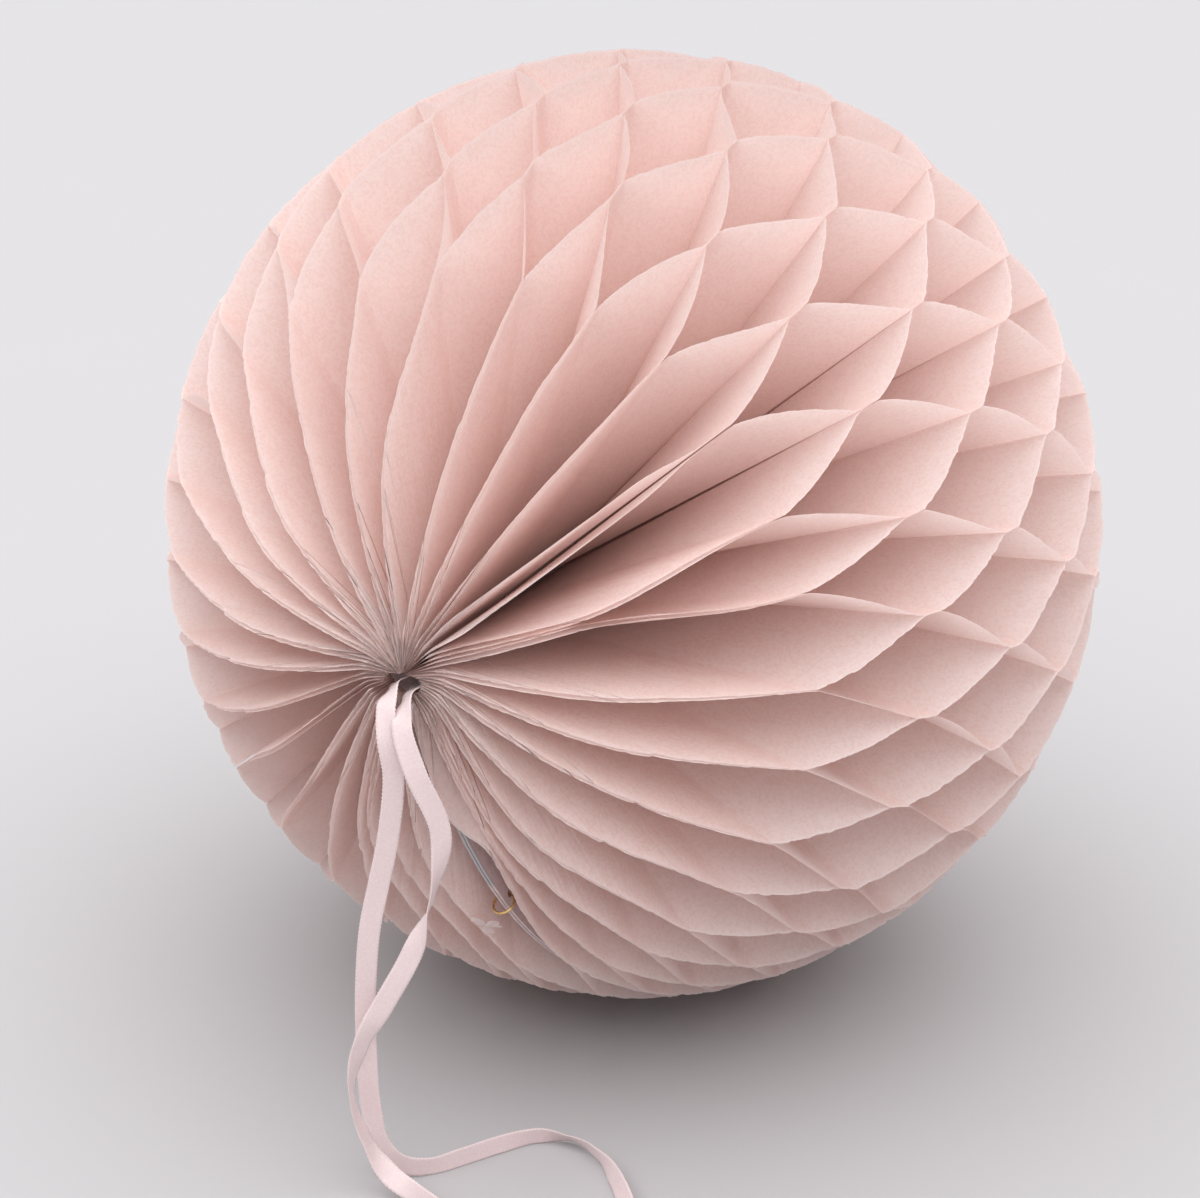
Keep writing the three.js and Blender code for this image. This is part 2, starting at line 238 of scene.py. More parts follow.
class Fan:
    """Where every leaf of the fan runs."""

    def __init__(self, sizes):
        self.sizes = sizes
        self.slot = math.asin(COVER_HALF / SPINE_RADIUS)
        self.dice = random.Random(sizes.seed)
        self.pairs = self.spread_pairs()
        self.nodes = {
            (gap, level): self.node(gap, level)
            for gap in range(LEAVES - 1)
            for level in range(GLUE_LEVELS)
            if (gap + level) % 2 == 0
        }
        self.bulges = {
            (leaf, level): self.dice.uniform(-1, 1)
            for leaf in range(LEAVES)
            for level in range(GLUE_LEVELS - 1)
        }
        self.slits = [blend(NARROW_SLIT, OPEN_SLIT, self.dice.random() ** 3) for _ in range(LEAVES)]

    def spread_pairs(self):
        """The angle of each pair of leaves. The pairs crowd together at the seam."""
        shares = []
        for pair in range(PAIRS):
            from_seam = min(pair, PAIRS - 1 - pair) + 0.5
            shares.append(1 - FAN_SQUEEZE * math.exp(-((from_seam / FAN_REACH) ** 2)))
        scale = (math.tau - 2 * FAN_START) / sum(shares)
        start, middles = FAN_START, []
        for share in shares:
            middles.append(start + share * scale / 2)
            start += share * scale
        return middles

    def gap_angle(self, gap):
        """Where a gap stands in an even fan."""
        pair = gap // 2
        if gap % 2 == 0:
            return self.pairs[pair]
        return (self.pairs[pair] + self.pairs[pair + 1]) / 2

    def node(self, gap, level):
        """Where two leaves are glued: the fan droops a little on both sides, and no two cells are alike."""
        even = self.gap_angle(gap)
        room = half_turn_share(even)
        droop = -self.sizes.droop * math.sin(even + SEAM_TILT) * room
        stray = self.dice.uniform(-1, 1) * self.sizes.unevenness * room
        if level < len(NODE_LEAN):
            first, leans = NODE_LEAN[level]
            if 0 <= gap // 2 - first < len(leans):
                return even + math.radians(leans[gap // 2 - first])
        return even + droop + stray

    def spine_angle(self, leaf):
        """Where a leaf is bound at the spine."""
        return self.slot + (leaf + 0.5) * (math.tau - 2 * self.slot) / LEAVES

    def pulled(self, outer, leaf, radius):
        """A leaf is straight from its place at the spine to its outer place."""
        inner = self.spine_angle(leaf)
        pull = SPINE_RADIUS / radius * (BALL_RADIUS - radius) / (BALL_RADIUS - SPINE_RADIUS)
        return outer + (inner - outer) * min(pull, 1.0)

    def glued(self, leaf, level, radius):
        """A leaf's angle at the rim where it is glued at a level."""
        gap = leaf if (level + leaf) % 2 == 0 else leaf - 1
        if gap < 0:
            return math.asin((COVER_HALF + self.sizes.leaf_gap) / radius)
        if gap == LEAVES - 1:
            return math.tau - math.asin((COVER_HALF + self.sizes.leaf_gap) / radius)
        side = -1 if gap == leaf else 1
        return self.pulled(self.nodes[gap, level], leaf, radius) + side * self.sizes.leaf_gap / radius

    def near_cap(self, leaf, along, radius):
        """Past the last glue towards the ribbon's pole a pair of leaves runs as one double lip."""
        pair = leaf // 2
        share = smooth((LEAN_FROM - radius) / LEAN_OVER)
        outer = self.nodes[2 * pair, 0]
        outer = blend(outer, self.pairs[pair] + math.radians(FRONT_LEAN[pair]), share)
        if pair == 0:
            shut = smooth((SHUT_FROM - radius) / SHUT_OVER)
            outer = blend(outer, math.asin(min(SHUT_HALF / radius, MOST_TURN)), shut)
        return self.lip(leaf, 2 * pair, outer, along, radius, pair == WIDE_LIP)

    def far_cap(self, leaf, along, radius):
        """The same at the far pole, where each end leaf stands by its card."""
        gap = leaf if leaf % 2 else leaf - 1
        if gap < 0 or gap == LEAVES - 1:
            opened = smooth((-along - TOP_GLUE) / CARD_LEAF_OVER) * min(radius / CARD_LEAF_RADIUS, 1.0)
            half = blend(COVER_HALF + self.sizes.leaf_gap, CARD_LEAF_HALF, opened)
            away = math.asin(min(half / radius, MOST_TURN))
            return away if gap < 0 else math.tau - away
        outer = self.nodes[gap, GLUE_LEVELS - 1]
        lean = -self.sizes.droop * math.sin(outer + SEAM_TILT) * smooth((LEAN_FROM - radius) / LEAN_OVER)
        return self.lip(leaf, gap, outer + lean * half_turn_share(outer), -along, radius, False)

    def lip(self, leaf, gap, outer, past, radius, wide):
        """The two leaves of a pair run side by side to the pole, with a narrow wavy slit between them."""
        side = -1 if gap == leaf else 1
        opened = smooth((past - TOP_GLUE) / LIP_OVER) * smooth((radius - LIP_RADIUS) / LIP_RADIUS_OVER)
        wave = 0.55 + 0.45 * uneven(past * WAVE_PITCH, gap * 3.7, 0)
        slit = opened * (WIDE_SLIT if wide else self.slits[gap] * wave)
        ripple = self.sizes.ripple * opened * uneven(past * RIPPLE_PITCH, gap * 5.3, 9)
        return self.pulled(outer, leaf, radius) + (side * (slit + self.sizes.leaf_gap) + ripple) / radius

    def rim(self, leaf, along, radius):
        """A leaf's angle at its rim, at a place along the spine."""
        if along > TOP_GLUE:
            return self.near_cap(leaf, along, radius)
        if along < -TOP_GLUE:
            return self.far_cap(leaf, along, radius)
        height = (GLUE_LEVELS - 1) / 2 - along / GLUE_SPACING
        level = min(max(int(height), 0), GLUE_LEVELS - 2)
        flat = GLUE_WIDTH / 2 / GLUE_SPACING
        share = min(max((height - level - flat) / (1 - 2 * flat), 0.0), 1.0)
        here = self.glued(leaf, level, radius)
        there = self.glued(leaf, level + 1, radius)
        curved = blend(share, smooth(share), self.sizes.curve)
        angle = blend(here, there, curved)
        free = 4 * share * (1 - share)
        sag = -self.sizes.sag * math.sin(angle + SEAM_TILT) * radius / BALL_RADIUS
        bulge = self.sizes.bulge * self.bulges[leaf, level]
        return angle + (sag + bulge) * free * half_turn_share(angle)

    def free_share(self, along):
        """1 midway between two lines of glue, and 0 at each line and past the last."""
        if abs(along) > TOP_GLUE:
            return 0.0
        height = (GLUE_LEVELS - 1) / 2 - along / GLUE_SPACING
        share = height - math.floor(height)
        return smooth(4 * share * (1 - share))


def ragged(leaf, turn, sizes):
    """How much of a leaf's rim is torn away at an angle from the pole: fibres, and a nick from the cutter."""
    fine = abs(uneven(turn * FINE_TEARS, leaf * 7.7, 0))
    coarse = abs(uneven(turn * COARSE_TEARS, leaf * 3.1, 5))
    torn = sizes.rag * (0.9 * fine + 0.7 * coarse)
    for pole_turn in (turn, math.pi - turn):
        past = (pole_turn - sizes.nick_turn) * BALL_RADIUS
        if 0 < past < NICK_LENGTH:
            torn += sizes.nick * (0.4 + 0.6 * ((leaf * 37) % 11) / 10) * (1 - smooth(past / NICK_LENGTH))
    return torn


def rim_place(angle, turn, torn):
    """A rim point's distance from the spine and place along it, drawn together round the pole."""
    radius = (reach_at(angle) - torn) * math.sin(turn)
    along = (BALL_RADIUS - torn) * math.cos(turn)
    dimple = DIMPLE * math.exp(-((radius / DIMPLE_RADIUS) ** 2))
    return radius, along - math.copysign(dimple, along)


def gather_radius(angle):
    """How far from the spine a leaf ends at the pole. Below, the ribbon needs the whole hole."""
    turned = (angle + SEAM_TILT + math.pi) % math.tau - math.pi
    tip = TIP_RADIUS + TIP_STRAY * uneven(angle * 31, 2.5, 0)
    return blend(SPINE_BORE + 0.3 * MM, tip, smooth((abs(math.degrees(turned)) - 70) / 45))


def shape_leaf(mesh, fan, leaf, sizes):
    """One half-disc leaf: a flat grid whose points are moved to where the leaf runs."""
    columns, rows = sizes.rim_steps, sizes.spine_steps
    grid = bmesh.ops.create_grid(mesh, x_segments=columns, y_segments=rows, size=0.5)
    spine_turn = fan.spine_angle(leaf)
    hole = gather_radius(spine_turn)
    first = math.asin(hole / BALL_RADIUS)
    uv = mesh.loops.layers.uv.verify()
    marks = {}
    for vert in grid["verts"]:
        column = round((vert.co.x + 0.5) * columns)
        row = round((vert.co.y + 0.5) * rows)
        turn = blend(first, math.pi - first, column / columns)
        torn = ragged(leaf, turn, sizes)
        radius, along = rim_place(spine_turn, turn, torn)
        angle = fan.rim(leaf, along, radius)
        radius, along = rim_place(angle, turn, torn)
        outward = (row / rows) ** DEPTH_CROWDING
        drawn_in = smooth((abs(along) - POLE_FROM) / POLE_OVER)
        start = min(blend(SPINE_BORE + 0.4 * MM, 0.9 * hole, drawn_in), 0.92 * radius)
        inner = min(SPINE_RADIUS, 0.5 * (start + radius))
        base = place(spine_turn, inner, along)
        if outward < BOUND_SHARE:
            point = place(spine_turn, blend(start, inner, outward / BOUND_SHARE), along)
        else:
            share = (outward - BOUND_SHARE) / (1 - BOUND_SHARE)
            point = base.lerp(place(angle, radius, along), share)
            across = Vector((math.cos(angle + SEAM_TILT), 0, math.sin(angle + SEAM_TILT)))
            cup = uneven(along * CUP_PITCH, leaf * 2.3, share * 1.6)
            depth = math.sin(math.pi * share) * fan.free_share(along) * half_turn_share(angle)
            point += across * (sizes.cup * cup * depth)
            if leaf < 2 and along > TOP_GLUE:
                point += folded_over(leaf, point, radius, along)
            point.z = max(point.z, FLOOR_GAP)
        vert.co = point
        # from_rim places the painted rim highlight; near the spine it is pushed inwards, so that the
        # highlight fades there
        from_rim = (1 - outward) * (radius - start) + RIM_HIGHLIGHT_FADE * smooth(1 - radius / RIM_HIGHLIGHT_RADIUS)
        marks[vert] = (along * UV_SCALE, from_rim * UV_SCALE)
    write_marks(grid["verts"], uv, marks)


def write_marks(verts, uv, marks):
    """Stores each point's mark as the piece's own coordinates."""
    for vert in verts:
        for loop in vert.link_loops:
            loop[uv].uv = marks[vert]


def folded_over(leaf, point, radius, along):
    """Near the ribbon's pole the first pair of leaves folds over the cards' edges and closes the seam."""
    _, outward, across = seam_directions()
    from_spine = point - BALL_CENTRE
    offset, out = from_spine.dot(across), from_spine.dot(outward)
    card = math.sqrt(max(COVER_RADIUS ** 2 - along ** 2, 0)) + FOLD_PAST
    past = smooth((out - card) / max(radius - card, FOLD_PAST)) * smooth((SHUT_FROM - radius) / SHUT_OVER)
    return across * (math.copysign(FOLDED_HALF[leaf], offset) - offset) * past


def finished(name, mesh, material, slot_name, *replaced):
    """Turns a bmesh into a piece that rides on the ball."""
    data = bpy.data.meshes.new(name)
    mesh.to_mesh(data)
    mesh.free()
    data.materials.append(material)
    for polygon in data.polygons:
        polygon.use_smooth = True
    piece = bpy.data.objects.new(name, data)
    bpy.context.scene.collection.objects.link(piece)
    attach(piece, BODY)
    if replaced:
        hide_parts(*replaced)
    return piece


def thicken(piece, wall):
    """Gives a sheet its thickness, half to each side."""
    solid = piece.modifiers.new("Wall", "SOLIDIFY")
    solid.thickness = wall
    solid.offset = 0
    solid.use_even_offset = False


class Value:
    """A number in a material's nodes, which adds Math nodes as it is used in an expression."""

    def __init__(self, paint, socket):
        self.paint = paint
        self.socket = socket

    def math(self, operation, first, second=0.0):
        """Adds a Math node."""
        return self.paint.node("ShaderNodeMath", {"operation": operation}, first, second)

    def __add__(self, other):
        return self.math("ADD", self, other)

    def __sub__(self, other):
        return self.math("SUBTRACT", self, other)

    def __mul__(self, other):
        return self.math("MULTIPLY", self, other)

    def __truediv__(self, other):
        return self.math("DIVIDE", self, other)

    def __rsub__(self, other):
        return self.math("SUBTRACT", other, self)

    def __abs__(self):
        return self.math("ABSOLUTE", self)

    __radd__ = __add__
    __rmul__ = __mul__

    def wave(self):
        """Its sine, between -1 and 1."""
        return self.math("SINE", self)

    def step(self, low, high):
        """0 below low and 1 above high, with a soft way between."""
        settings = {"interpolation_type": "SMOOTHSTEP"}
        return self.paint.node("ShaderNodeMapRange", settings, self, low, high, 0.0, 1.0)


class Paint:
    """A new node material."""

    def __init__(self, name):
        self.material = bpy.data.materials.new(name)
        self.material.use_nodes = True
        self.tree = self.material.node_tree
        self.tree.nodes.clear()
        self.output = self.tree.nodes.new("ShaderNodeOutputMaterial")

    def node(self, kind, settings, *inputs, out=0, **named):
        """Adds a node, sets its settings, then its sockets, and returns one output."""
        node = self.tree.nodes.new(kind)
        for key, setting in settings.items():
            setattr(node, key, setting)
        for key, given in [*enumerate(inputs), *named.items()]:
            socket = node.inputs[key if isinstance(key, int) else key.replace("_", " ")]
            if isinstance(given, Value):
                self.tree.links.new(given.socket, socket)
            elif given is not None:
                socket.default_value = given
        return Value(self, node.outputs[out])

    def place(self):
        """The place in the object's own coordinates, in metres."""
        return self.node("ShaderNodeTexCoord", {}, out="Object")

    def parts(self, vector):
        """The three numbers of a vector."""
        split = self.node("ShaderNodeSeparateXYZ", {}, vector)
        return tuple(Value(self, socket) for socket in split.socket.node.outputs)

    def sheet(self):
        """The piece's own two directions: along it, and across it."""
        return self.parts(self.node("ShaderNodeTexCoord", {}, out="UV"))[:2]

    def noise(self, where, scale, detail, roughness):
        """A fine uneven pattern between 0 and 1."""
        sockets = {"Vector": where, "Scale": scale, "Detail": detail, "Roughness": roughness}
        return self.node("ShaderNodeTexNoise", {}, **sockets)

    def mix(self, share, first, second):
        """A colour between two colours. The node's sockets for numbers and vectors stay as they are."""
        skipped = (None,) * 5
        return self.node("ShaderNodeMix", {"data_type": "RGBA"}, share, *skipped, first, second, out=2)

    def bump(self, height, distance, strength=1.0):
        """A relief this many metres deep, as a normal."""
        return self.node("ShaderNodeBump", {}, Height=height, Distance=distance, Strength=strength)

    def surface(self, **sockets):
        """The shader of a surface."""
        return self.node("ShaderNodeBsdfPrincipled", {}, **sockets)

    def show(self, shader):
        """Makes this the material's shader."""
        self.tree.links.new(shader.socket, self.output.inputs["Surface"])
        return self.material


def solid_colour(colour, factor=1.0):
    """A colour with its alpha, lighter or darker by a factor."""
    return (*(min(c * factor, 1.0) for c in colour), 1.0)


def tissue_material(finish):
    """Thin matte tissue: mottled fibres, faint lines of glue, a painted highlight along the rim, and light
    shining through.
    """
    paint = Paint("tissue_leaf")
    where = paint.place()
    along, from_rim = paint.sheet()
    fibres = paint.noise(where, scale=950, detail=2, roughness=0.8)
    pulp = paint.noise(where, scale=210, detail=2, roughness=0.7)
    height = along / (GLUE_SPACING * UV_SCALE) + 0.5
    glue = abs(paint.node("ShaderNodeMath", {"operation": "FRACT"}, height + 10.0) - 0.5).step(0.44, 0.49)
    base = paint.mix(fibres.step(0.38, 0.58), solid_colour(finish.tissue_deep), solid_colour(finish.tissue))
    base = paint.mix(pulp.step(0.45, 0.75) * 0.4, base, solid_colour(finish.tissue_pale_and_rim_highlight))
    base = paint.mix(glue * 0.2, base, solid_colour(finish.tissue_deep))
    # Painted highlight: each leaf's outer rim is made paler, as where light catches the edge, and it fades
    # near the spine
    rim = 1 - from_rim.step(0.2 * MM * UV_SCALE, 1.1 * MM * UV_SCALE)
    base = paint.mix(rim * 0.7, base, solid_colour(finish.tissue_pale_and_rim_highlight))
    normal = paint.bump(fibres * 0.4 + pulp * 0.6, distance=0.16 * MM, strength=0.9)
    paper = paint.surface(Base_Color=base, Roughness=0.92, Specular_IOR_Level=0.1, Normal=normal)
    glow = paint.node("ShaderNodeBsdfTranslucent", {}, Color=solid_colour(finish.tissue_through))
    return paint.show(paint.node("ShaderNodeMixShader", {}, SHINE_THROUGH, paper, glow))


def card_material(finish):
    """Board wrapped in tissue, with a bare grey edge near the poles."""
    paint = Paint("card_board")
    where = paint.place()
    flecks = paint.noise(where, scale=700, detail=4, roughness=0.7)
    patches = paint.noise(where, scale=55, detail=3, roughness=0.6)
    base = paint.mix(flecks.step(0.35, 0.7), solid_colour(finish.card, 0.86), solid_colour(finish.card))
    base = paint.mix(patches.step(0.4, 0.7) * 0.35, base, solid_colour(finish.card, 1.1))
    settings = {"operation": "DISTANCE"}
    reach = paint.node("ShaderNodeVectorMath", settings, where, tuple(BALL_CENTRE), out=1)
    bare = abs(paint.parts(where)[1]).step(BARE_FROM - 1 * MM, BARE_FROM)
    edge = reach.step(COVER_RADIUS - 0.7 * MM, COVER_RADIUS - 0.5 * MM) * bare
    base = paint.mix(edge, base, solid_colour(finish.board))
    normal = paint.bump(flecks * 0.6 + patches * 0.4, distance=0.1 * MM)
    return paint.show(paint.surface(Base_Color=base, Roughness=0.86, Specular_IOR_Level=0.25, Normal=normal))


def brass_material(finish):
    """Drawn brass wire, a little dulled."""
    paint = Paint("brass_wire")
    where = paint.place()
    dull = paint.noise(where, scale=900, detail=3, roughness=0.6)
    scratches = paint.noise(where, scale=3200, detail=2, roughness=0.5)
    base = paint.mix(dull.step(0.45, 0.75) * 0.6, solid_colour(finish.brass), solid_colour(finish.brass, 0.6))
    rough = dull * 0.25 + 0.16
    normal = paint.bump(scratches, distance=0.03 * MM)
    return paint.show(paint.surface(Base_Color=base, Metallic=1.0, Roughness=rough, Normal=normal))


def thread_material(finish):
    """Two-ply cotton."""
    paint = Paint("cotton_thread")
    where = paint.place()
    across, along, up = paint.parts(where)
    lay = (along * 5200 + across * 2600 + up * 2600).wave() * 0.5 + 0.5
    fuzz = paint.noise(where, scale=2600, detail=3, roughness=0.7)
    # Painted shade: the thread is darker in the grooves of the twist, where the bump is lowest
    base = paint.mix(lay * 0.5, solid_colour(finish.thread, 0.75), solid_colour(finish.thread))
    normal = paint.bump(lay * 0.7 + fuzz * 0.3, distance=0.2 * MM)
    return paint.show(paint.surface(Base_Color=base, Roughness=0.9, Sheen_Weight=0.2, Normal=normal))


def satin_material(finish):
    """Woven satin: fine ribs across the band, close long floats, and a firm edge."""
    paint = Paint("satin_band")
    where = paint.place()
    along, across = paint.sheet()
    ribs = (along * 1300).wave() * 0.5 + 0.5
    floats = (across * 46).wave() * 0.5 + 0.5
    flecks = paint.noise(where, scale=1500, detail=3, roughness=0.6)
    edge = abs(across).step(0.84, 0.95)
    picots = (along * 520).wave() * 0.5 + 0.5
    base = paint.mix(flecks.step(0.35, 0.7), solid_colour(finish.satin, 0.93), solid_colour(finish.satin))
    base = paint.mix(edge * picots * 0.5, base, solid_colour(finish.satin_edge))
    relief = ribs * (1 - edge) * 0.4 + floats * 0.15 + edge * picots
    normal = paint.bump(relief, distance=0.06 * MM, strength=0.9)
    rough = 0.36 + flecks * 0.12 + edge * 0.3
    return paint.show(paint.surface(
        Base_Color=base, Roughness=rough, Specular_IOR_Level=0.5, Sheen_Weight=0.35, Sheen_Roughness=0.35,
        Normal=normal,
    ))


def floor_material(finish):
    """A plain matte floor, very slightly uneven in tone."""
    paint = Paint("pale_floor")
    grain = paint.noise(paint.place(), scale=6, detail=2, roughness=0.5)
    base = paint.mix(grain, solid_colour(finish.floor, 0.985), solid_colour(finish.floor))
    return paint.show(paint.surface(Base_Color=base, Roughness=0.75, Specular_IOR_Level=0.2))


def route_curve(points, steps):
    """Even steps along a smooth curve through the points, each with its place on the list of points."""
    dense = []
    last = len(points) - 1
    for index in range(last):
        start, end = points[index], points[index + 1]
        before = points[index - 1] if index else 2 * start - end
        after = points[index + 2] if index + 2 <= last else 2 * end - start
        ends = ((before, start), (start, end), (end, after))
        first, here, then = (math.sqrt(max((b - a).length, 1e-6)) for a, b in ends)
        leave = (start - before) / first - (end - before) / (first + here) + (end - start) / here
        arrive = (end - start) / here - (after - start) / (here + then) + (after - end) / then
        leave, arrive = leave * here, arrive * here
        for part in range(CURVE_PARTS):
            u = part / CURVE_PARTS
            point = start * (2 * u ** 3 - 3 * u ** 2 + 1) + end * (3 * u ** 2 - 2 * u ** 3)
            point += leave * (u ** 3 - 2 * u ** 2 + u) + arrive * (u ** 3 - u ** 2)
            dense.append((point, index + u))
    dense.append((points[last], last))
    lengths = [0.0]
    for (a, _), (b, _) in zip(dense, dense[1:]):
        lengths.append(lengths[-1] + (b - a).length)
    samples, at = [], 0
    for step in range(steps + 1):
        target = lengths[-1] * step / steps
        while at < len(dense) - 2 and lengths[at + 1] < target:
            at += 1
        share = (target - lengths[at]) / max(lengths[at + 1] - lengths[at], 1e-9)
        (a, index_a), (b, index_b) = dense[at], dense[at + 1]
        samples.append((a.lerp(b, share), blend(index_a, index_b, share)))
    return samples, lengths[-1]


def list_value(values, at):
    """A smooth reading between the numbers of a list."""
    index = min(int(at), len(values) - 2)
    return blend(values[index], values[index + 1], smooth(at - index))


def band_across(samples, index):
    """The direction across the band at a sample."""
    ahead = samples[min(index + 1, len(samples) - 1)][0]
    behind = samples[max(index - 1, 0)][0]
    along = (ahead - behind).normalized()
    facing = (TO_CAMERA - along * TO_CAMERA.dot(along)).normalized()
    turn = math.radians(list_value(RIBBON_TURN, samples[index][1]))
    normal = facing * math.cos(turn) + along.cross(facing) * math.sin(turn)
    return along.cross(normal)


def make_ribbon(sizes, material):
    """The satin band: a flat grid whose points are moved to the ribbon's route."""
    points = [Vector(point) * MM for point in RIBBON_ROUTE]
    samples, length = route_curve(points, sizes.length_steps)
    mesh = bmesh.new()
    uv = mesh.loops.layers.uv.verify()
    columns, rows = sizes.length_steps, sizes.width_steps
    grid = bmesh.ops.create_grid(mesh, x_segments=columns, y_segments=rows, size=0.5)
    marks = {}
    across = [band_across(samples, index) for index in range(len(samples))]
    for vert in grid["verts"]:
        index = round((vert.co.x + 0.5) * columns)
        side = 2 * vert.co.y
        half = sizes.width / 2
        if abs(side) > 0.99:
            half += sizes.picot * (1 if index % 2 else -1)
        point = samples[index][0] + across[index] * side * half
        point.z = max(point.z, sizes.thickness)
        vert.co = point
        marks[vert] = (length * index / columns * UV_SCALE, side)
    write_marks(grid["verts"], uv, marks)
    piece = finished("ribbon_band", mesh, material, "satin", "ribbon")
    thicken(piece, sizes.thickness)


def make_torn_scrap(sizes, material):
    """A torn scrap of tissue that lies on the leaves' rims below the ring: a disc drawn out into lobes."""
    mesh = bmesh.new()
    uv = mesh.loops.layers.uv.verify()
    radius = math.sqrt(SCRAP_RIMS ** 2 - SCRAP_ALONG ** 2)
    middle = place(SCRAP_ANGLE, radius, SCRAP_ALONG)
    outward = (middle - BALL_CENTRE).normalized()
    side = outward.cross(Vector((0, 1, 0))).normalized()
    down = outward.cross(side)
    bmesh.ops.create_circle(mesh, cap_ends=True, segments=48, radius=1)
    bmesh.ops.poke(mesh, faces=mesh.faces[:])
    bmesh.ops.subdivide_edges(mesh, edges=mesh.edges[:], cuts=3, use_grid_fill=True)
    for vert in mesh.verts:
        turn = math.atan2(vert.co.y, vert.co.x)
        torn = 0.34 * uneven(turn * 2.2, 4, 1)
        reach = sizes.scrap * (0.62 + 0.3 * math.sin(3 * turn + 0.5) + torn)
        flat = side * vert.co.x * reach * 1.25 + down * vert.co.y * reach
        lift = SCRAP_CRUMPLE * uneven(vert.co.x * 1.7, vert.co.y * 1.7, 3)
        vert.co = middle + flat + outward * lift
    # Every point reads as rim, so the whole scrap takes the painted rim highlight
    for face in mesh.faces:
        for loop in face.loops:
            loop[uv].uv = (0.3, 0)
    finished("torn_scrap", mesh, material, "tissue")


def make_ring(name, side, sizes, material, replaced):
    """A wire ring: a small circle spun about the ring's middle."""
    along, outward, across = seam_directions()
    towards = along * side * math.cos(RING_ANGLE) + outward * math.sin(RING_ANGLE)
    centre = BALL_CENTRE + towards * COVER_RADIUS
    axis = towards.cross(across)
    mesh = bmesh.new()
    circle = bmesh.ops.create_circle(mesh, segments=sizes.wire_sides, radius=sizes.wire / 2)
    turn = Matrix((towards, axis, across)).transposed().to_4x4()
    to_place = Matrix.Translation(centre + towards * sizes.radius) @ turn
    bmesh.ops.transform(mesh, matrix=to_place, verts=circle["verts"])
    bmesh.ops.spin(
        mesh, geom=mesh.verts[:] + mesh.edges[:], cent=centre, axis=axis, angle=math.tau,
        steps=sizes.ring_steps, use_merge=True,
    )
    bmesh.ops.recalc_face_normals(mesh, faces=mesh.faces[:])
    finished(name, mesh, material, "brass", replaced)


class LeafSizes(bpy.types.PropertyGroup):
    """How the tissue leaves are torn, glued and bent"""

    leaf_gap: FloatProperty(
        name="Glue gap", description="From a line of glue to a leaf", default=0.00003, unit="LENGTH",
    )
    rag: FloatProperty(
        name="Ragged edge", description="How deep the rim's fibres are torn", default=0.0008, unit="LENGTH",
    )
    nick: FloatProperty(name="Nick", description="Depth of the cutter's nick", default=0.0008, unit="LENGTH")
    nick_turn: FloatProperty(
        name="Nick place", description="From the pole to the nick", default=math.radians(27.5),
        unit="ROTATION",
    )
    sag: FloatProperty(
        name="Sag", description="How far a free edge sags between glue lines", default=math.radians(0.15),
        unit="ROTATION",
    )
    bulge: FloatProperty(
        name="Bulge", description="How unlike the free edges are", default=math.radians(0.7), unit="ROTATION",
    )
    droop: FloatProperty(
        name="Droop", description="How far the whole fan droops", default=math.radians(2.5), unit="ROTATION",
    )
    unevenness: FloatProperty(
        name="Unevenness", description="How far glue nodes stray", default=math.radians(0.9), unit="ROTATION",
    )
    ripple: FloatProperty(
        name="Ripple", description="How far a free lip waves", default=0.0011, unit="LENGTH",
    )
    cup: FloatProperty(
        name="Cupping", description="How far a cell's wall bellies", default=0.0022, unit="LENGTH",
    )
    scrap: FloatProperty(
        name="Torn scrap", description="Reach of the torn scrap", default=0.0052, unit="LENGTH",
    )
    curve: FloatProperty(
        name="Curve", description="0 for straight cell edges, 1 for S-curves", default=0.12, min=0, max=1,
        subtype="FACTOR",
    )
    rim_steps: IntProperty(name="Rim steps", description="Points round a leaf's rim", default=560)
    spine_steps: IntProperty(name="Depth steps", description="Points from the spine to the rim", default=13)
    leaves_each: IntProperty(name="Leaves each", description="Leaves in each object", default=6)
    seed: IntProperty(name="Seed", description="Start of the random draws", default=11)


class RibbonSizes(bpy.types.PropertyGroup):
    """The satin band's sizes"""

    width: FloatProperty(name="Width", description="Width of the band", default=0.006, unit="LENGTH")
    thickness: FloatProperty(
        name="Thickness", description="Thickness of the band", default=0.00025, unit="LENGTH",
    )
    picot: FloatProperty(
        name="Edge loops", description="Depth of the woven edge", default=0.00011, unit="LENGTH",
    )
    length_steps: IntProperty(name="Length steps", description="Steps along the band", default=900)
    width_steps: IntProperty(name="Width steps", description="Steps across the band", default=8)


class RingSizes(bpy.types.PropertyGroup):
    """The wire rings' sizes"""

    radius: FloatProperty(
        name="Radius", description="To the middle of the wire", default=0.0034, unit="LENGTH",
    )
    wire: FloatProperty(name="Wire", description="Diameter of the wire", default=0.0008, unit="LENGTH")
    wire_sides: IntProperty(name="Wire sides", description="Sides of the wire", default=20)
    ring_steps: IntProperty(name="Ring steps", description="Steps round the ring", default=72)


def colour_property(name, default):
    """A colour that a user can change."""
    return FloatVectorProperty(
        name=name, description=f"Colour of the {name.lower()}", subtype="COLOR", size=3, default=default,
        min=0, max=1,
    )


